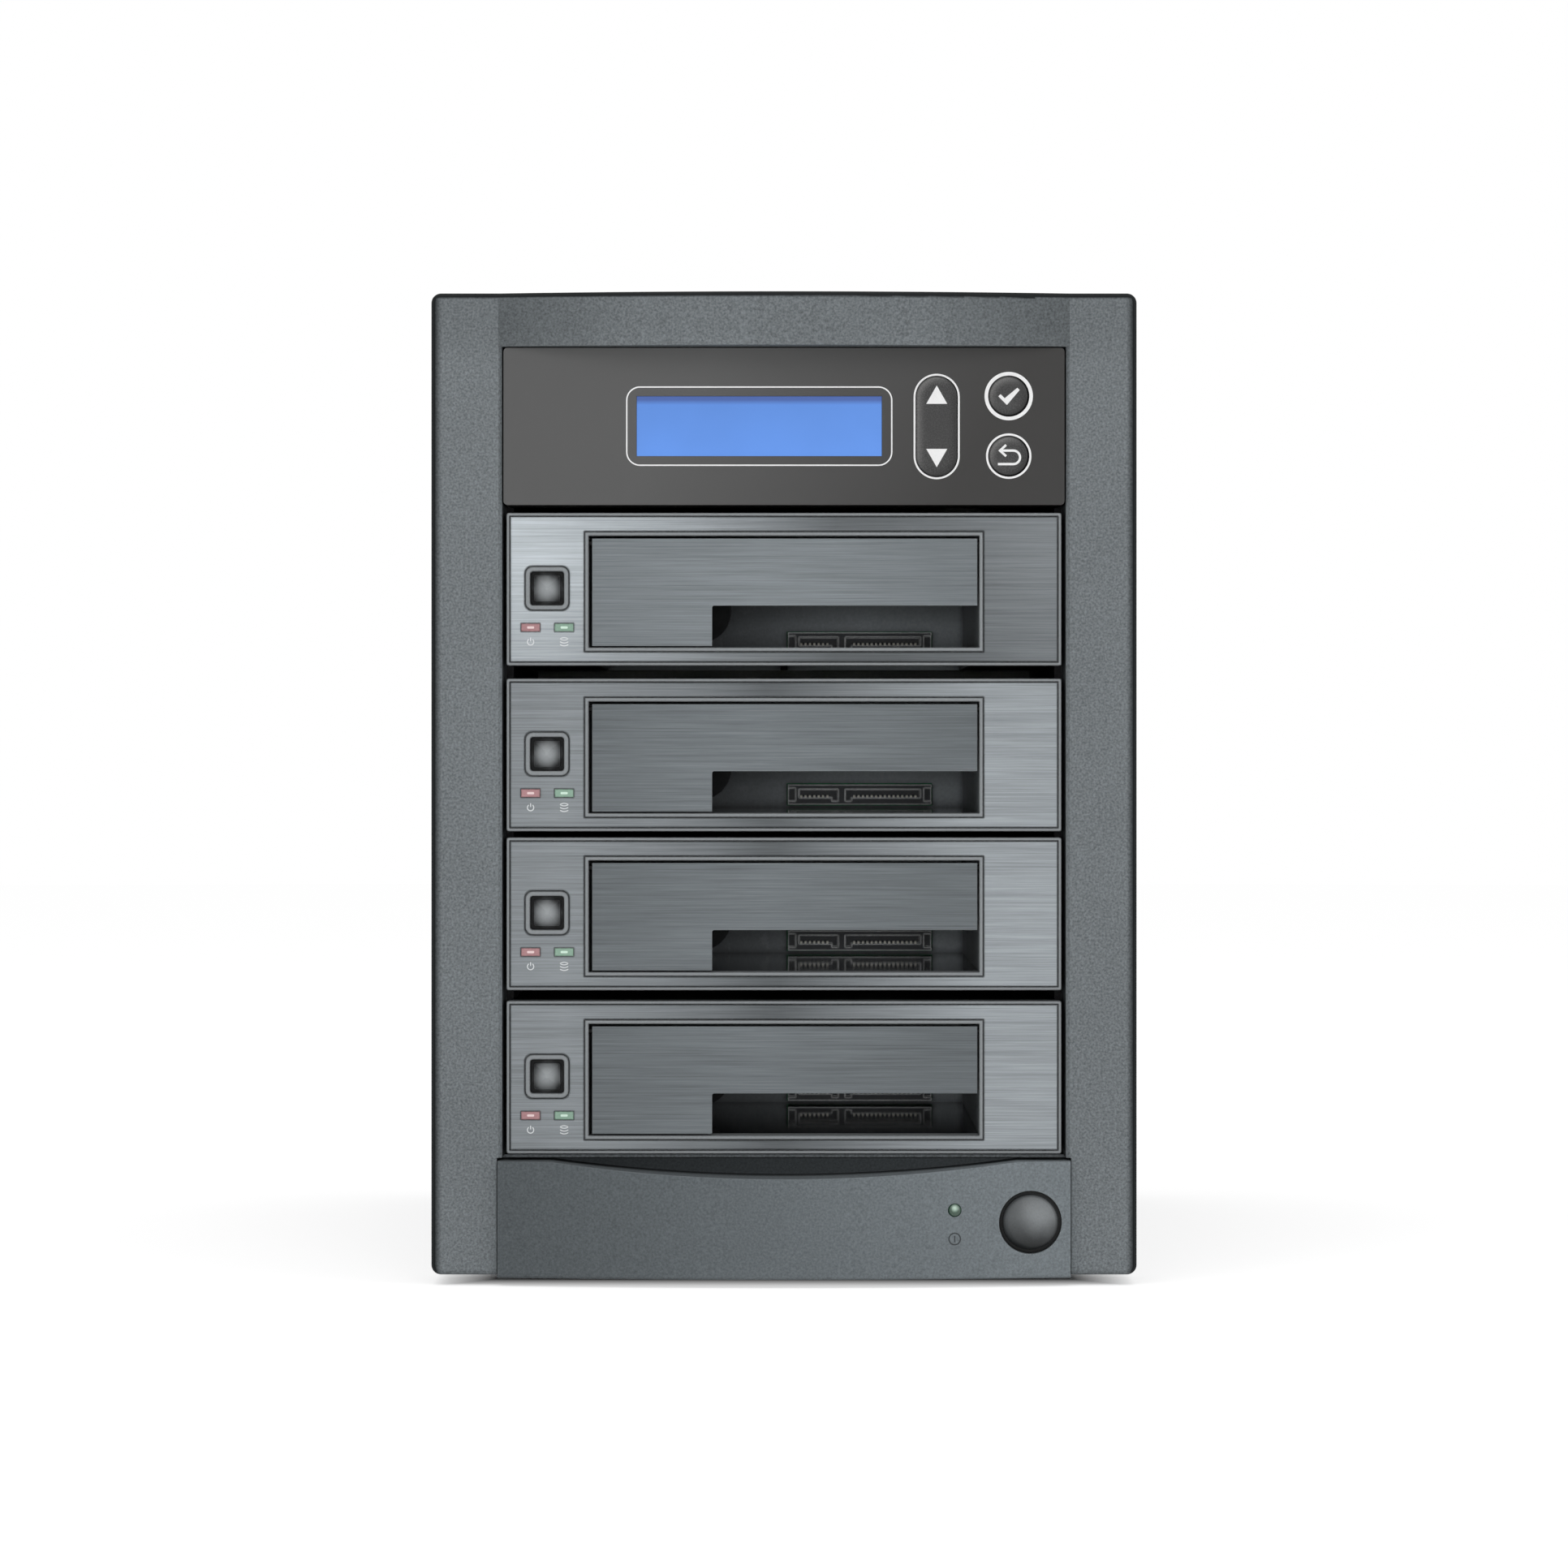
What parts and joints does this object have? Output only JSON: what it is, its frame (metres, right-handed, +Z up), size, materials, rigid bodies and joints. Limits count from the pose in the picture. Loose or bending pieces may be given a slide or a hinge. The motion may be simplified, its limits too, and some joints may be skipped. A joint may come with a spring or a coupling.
{
  "type": "ssd duplicator",
  "caption": "Free-standing drive duplicator tower: bowed front bezel with display and keys, stacked trayless racks with brushed flap doors, rear mains inlet and fans.",
  "frame": {"origin": "centre of the bounding box's footprint, on the surface that the feet stand on", "axes": "+X to the right seen from the front, +Y to the rear, +Z up"},
  "size_m": [0.1882, 0.34, 0.2646],
  "materials": {
    "bezel_plastic": "fine texture",
    "panel_plastic": "fine texture",
    "button_plastic": "satin",
    "control_plastic": "satin",
    "key_plastic": "satin",
    "rack_plastic": "satin",
    "chamber_plastic": "gloss",
    "face_plate": "brushed",
    "door_plate": "brushed",
    "eject_plastic": "satin",
    "red_lens": "frosted",
    "green_lens": "frosted",
    "power_lens": "gloss",
    "display": "backlit",
    "painted_steel": "powder coat",
    "bare_steel": "zinc plated",
    "screw_steel": "nickel plated",
    "foot_rubber": "matte",
    "black_plastic": "satin",
    "circuit_board": "solder mask",
    "guard_wire": "plated",
    "white_print": "screen print",
    "gold_contact": "gold plated"
  },
  "bodies": {
    "case": {"base_tray": "bare_steel", "rubber_feet": "foot_rubber", "cover": "painted_steel", "cover_thumbscrews": "screw_steel", "rear_panel": "bare_steel", "front_frame": "bare_steel", "bay_cage": "bare_steel", "front_bezel": "bezel_plastic", "lower_panel": "panel_plastic", "power_switch": "black_plastic", "power_light": "power_lens", "rack_faceplates": "face_plate", "red_lenses": "red_lens", "green_lenses": "green_lens", "sata_connectors": "black_plastic", "backplane_boards": "circuit_board", "rack_top_covers": "bare_steel", "rack_screws": "screw_steel", "control_panel": "control_plastic", "display_window": "display", "front_board": "circuit_board", "controller_tray": "bare_steel", "controller_board": "circuit_board", "psu_housing": "bare_steel", "psu_board": "circuit_board", "power_inlet": "black_plastic", "fan_frames": "black_plastic", "psu_fan_guard": "guard_wire", "rack_one_bezel": "rack_plastic", "rack_one_housing": "chamber_plastic", "rack_two_bezel": "rack_plastic", "rack_two_housing": "chamber_plastic", "rack_three_bezel": "rack_plastic", "rack_three_housing": "chamber_plastic", "rack_four_bezel": "rack_plastic", "rack_four_housing": "chamber_plastic"},
    "rack_one_door": {"rack_one_door": "door_plate"},
    "rack_one_eject_button": {"rack_one_eject_button": "eject_plastic"},
    "rack_one_ejector": {"rack_one_ejector": "rack_plastic"},
    "rack_one_guide_arm": {"rack_one_guide_arm": "chamber_plastic"},
    "rack_two_door": {"rack_two_door": "door_plate"},
    "rack_two_eject_button": {"rack_two_eject_button": "eject_plastic"},
    "rack_two_ejector": {"rack_two_ejector": "rack_plastic"},
    "rack_two_guide_arm": {"rack_two_guide_arm": "chamber_plastic"},
    "rack_three_door": {"rack_three_door": "door_plate"},
    "rack_three_eject_button": {"rack_three_eject_button": "eject_plastic"},
    "rack_three_ejector": {"rack_three_ejector": "rack_plastic"},
    "rack_three_guide_arm": {"rack_three_guide_arm": "chamber_plastic"},
    "rack_four_door": {"rack_four_door": "door_plate"},
    "rack_four_eject_button": {"rack_four_eject_button": "eject_plastic"},
    "rack_four_ejector": {"rack_four_ejector": "rack_plastic"},
    "rack_four_guide_arm": {"rack_four_guide_arm": "chamber_plastic"},
    "power_button": {"power_button": "button_plastic"},
    "confirm_key": {"confirm_key": "key_plastic"},
    "return_key": {"return_key": "key_plastic"},
    "up_down_key": {"up_down_key": "key_plastic"},
    "inlet_rocker": {"inlet_rocker": "black_plastic"},
    "psu_fan_rotor": {"psu_fan_rotor": "black_plastic"},
    "case_fan_rotor": {"case_fan_rotor": "black_plastic"}
  },
  "joints": [
    {"name": "rack_one_door_hinge", "type": "hinge", "parent": "case", "child": "rack_one_door", "pos_m": [0, -0.15735, 0.198], "axis": [1, 0, 0], "range_deg": [0, 90], "stiffness_Nm_per_rad": 0.004, "springref_deg": -17.19},
    {"name": "rack_one_eject_button_press", "type": "slide", "parent": "case", "child": "rack_one_eject_button", "axis": [0, 1, 0], "range_m": [0, 0.003], "stiffness_N_per_m": 300, "springref_m": -0.001},
    {"name": "rack_one_ejector_turn", "type": "hinge", "parent": "case", "child": "rack_one_ejector", "pos_m": [-0.0574, -0.014, 0.1653], "axis": [0, 0, -1], "range_deg": [0, 28]},
    {"name": "rack_one_guide_arm_swing", "type": "hinge", "parent": "case", "child": "rack_one_guide_arm", "pos_m": [-0.0568, -0.0715, 0.1653], "axis": [0, 0, 1], "range_deg": [0, 85], "stiffness_Nm_per_rad": 0.003, "springref_deg": -20.05},
    {"name": "rack_two_door_hinge", "type": "hinge", "parent": "case", "child": "rack_two_door", "pos_m": [0, -0.15735, 0.1538], "axis": [1, 0, 0], "range_deg": [0, 90], "stiffness_Nm_per_rad": 0.004, "springref_deg": -17.19},
    {"name": "rack_two_eject_button_press", "type": "slide", "parent": "case", "child": "rack_two_eject_button", "axis": [0, 1, 0], "range_m": [0, 0.003], "stiffness_N_per_m": 300, "springref_m": -0.001},
    {"name": "rack_two_ejector_turn", "type": "hinge", "parent": "case", "child": "rack_two_ejector", "pos_m": [-0.0574, -0.014, 0.1211], "axis": [0, 0, -1], "range_deg": [0, 28]},
    {"name": "rack_two_guide_arm_swing", "type": "hinge", "parent": "case", "child": "rack_two_guide_arm", "pos_m": [-0.0568, -0.0715, 0.1211], "axis": [0, 0, 1], "range_deg": [0, 85], "stiffness_Nm_per_rad": 0.003, "springref_deg": -20.05},
    {"name": "rack_three_door_hinge", "type": "hinge", "parent": "case", "child": "rack_three_door", "pos_m": [0, -0.15735, 0.1114], "axis": [1, 0, 0], "range_deg": [0, 90], "stiffness_Nm_per_rad": 0.004, "springref_deg": -17.19},
    {"name": "rack_three_eject_button_press", "type": "slide", "parent": "case", "child": "rack_three_eject_button", "axis": [0, 1, 0], "range_m": [0, 0.003], "stiffness_N_per_m": 300, "springref_m": -0.001},
    {"name": "rack_three_ejector_turn", "type": "hinge", "parent": "case", "child": "rack_three_ejector", "pos_m": [-0.0574, -0.014, 0.0787], "axis": [0, 0, -1], "range_deg": [0, 28]},
    {"name": "rack_three_guide_arm_swing", "type": "hinge", "parent": "case", "child": "rack_three_guide_arm", "pos_m": [-0.0568, -0.0715, 0.0787], "axis": [0, 0, 1], "range_deg": [0, 85], "stiffness_Nm_per_rad": 0.003, "springref_deg": -20.05},
    {"name": "rack_four_door_hinge", "type": "hinge", "parent": "case", "child": "rack_four_door", "pos_m": [0, -0.15735, 0.0678], "axis": [1, 0, 0], "range_deg": [0, 90], "stiffness_Nm_per_rad": 0.004, "springref_deg": -17.19},
    {"name": "rack_four_eject_button_press", "type": "slide", "parent": "case", "child": "rack_four_eject_button", "axis": [0, 1, 0], "range_m": [0, 0.003], "stiffness_N_per_m": 300, "springref_m": -0.001},
    {"name": "rack_four_ejector_turn", "type": "hinge", "parent": "case", "child": "rack_four_ejector", "pos_m": [-0.0574, -0.014, 0.0351], "axis": [0, 0, -1], "range_deg": [0, 28]},
    {"name": "rack_four_guide_arm_swing", "type": "hinge", "parent": "case", "child": "rack_four_guide_arm", "pos_m": [-0.0568, -0.0715, 0.0351], "axis": [0, 0, 1], "range_deg": [0, 85], "stiffness_Nm_per_rad": 0.003, "springref_deg": -20.05},
    {"name": "power_button_press", "type": "slide", "parent": "case", "child": "power_button", "axis": [0, 1, 0], "range_m": [0, 0.002], "stiffness_N_per_m": 400, "springref_m": -0.001},
    {"name": "confirm_key_press", "type": "slide", "parent": "case", "child": "confirm_key", "axis": [0, 1, 0], "range_m": [0, 0.0006], "stiffness_N_per_m": 500, "springref_m": -0.0006},
    {"name": "return_key_press", "type": "slide", "parent": "case", "child": "return_key", "axis": [0, 1, 0], "range_m": [0, 0.0006], "stiffness_N_per_m": 500, "springref_m": -0.0006},
    {"name": "up_down_key_rock", "type": "hinge", "parent": "case", "child": "up_down_key", "pos_m": [0.0407, -0.1575, 0.229], "axis": [1, 0, 0], "range_deg": [-3, 3], "stiffness_Nm_per_rad": 0.02},
    {"name": "inlet_rocker_rock", "type": "hinge", "parent": "case", "child": "inlet_rocker", "pos_m": [-0.048, 0.159, 0.223], "axis": [1, 0, 0], "range_deg": [-18, 0]},
    {"name": "psu_fan_spin", "type": "hinge", "parent": "case", "child": "psu_fan_rotor", "pos_m": [0.03, 0.15, 0.211], "axis": [0, 1, 0], "continuous": true},
    {"name": "case_fan_spin", "type": "hinge", "parent": "case", "child": "case_fan_rotor", "pos_m": [0, 0.15, 0.096], "axis": [0, 1, 0], "continuous": true}
  ],
  "couplings": [
    {"joint": "rack_one_ejector_turn", "follows": "rack_one_eject_button_press", "rad_per_m": 161.29},
    {"joint": "rack_two_ejector_turn", "follows": "rack_two_eject_button_press", "rad_per_m": 161.29},
    {"joint": "rack_three_ejector_turn", "follows": "rack_three_eject_button_press", "rad_per_m": 161.29},
    {"joint": "rack_four_ejector_turn", "follows": "rack_four_eject_button_press", "rad_per_m": 161.29}
  ]
}
